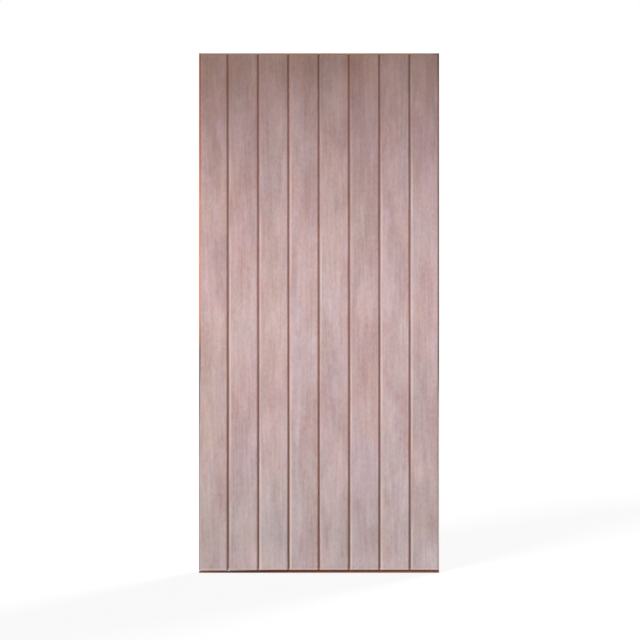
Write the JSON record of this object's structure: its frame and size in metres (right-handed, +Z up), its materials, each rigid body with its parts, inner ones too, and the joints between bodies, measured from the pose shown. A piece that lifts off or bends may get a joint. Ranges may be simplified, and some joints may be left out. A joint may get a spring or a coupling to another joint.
{
  "type": "shiplap timber door leaf",
  "caption": "Plain timber door leaf with vertical shiplap boards, V-shaped joints and narrow set-back edge lippings.",
  "frame": {"origin": "foot of the hinge edge, in the middle of the leaf's thickness", "axes": "+Z up the leaf from its underside, +X across it from the hinge edge to the latch edge, -Y out of the front face"},
  "size_m": [0.915, 0.044, 1.981],
  "materials": {
    "board_timber": "matte",
    "lipping_timber": "satin",
    "frame_timber": "matte",
    "core_timber": "matte"
  },
  "bodies": {
    "root": {"front_board_1": "board_timber", "front_board_2": "board_timber", "front_board_3": "board_timber", "front_board_4": "board_timber", "front_board_5": "board_timber", "front_board_6": "board_timber", "front_board_7": "board_timber", "front_board_8": "board_timber", "back_board_1": "board_timber", "back_board_2": "board_timber", "back_board_3": "board_timber", "back_board_4": "board_timber", "back_board_5": "board_timber", "back_board_6": "board_timber", "back_board_7": "board_timber", "back_board_8": "board_timber", "hinge_lipping": "lipping_timber", "latch_lipping": "lipping_timber", "top_lipping": "lipping_timber", "bottom_lipping": "lipping_timber", "hinge_stile": "frame_timber", "latch_stile": "frame_timber", "top_rail": "frame_timber", "lock_rail": "frame_timber", "bottom_rail": "frame_timber", "upper_core": "core_timber", "lower_core": "core_timber"}
  },
  "joints": []
}
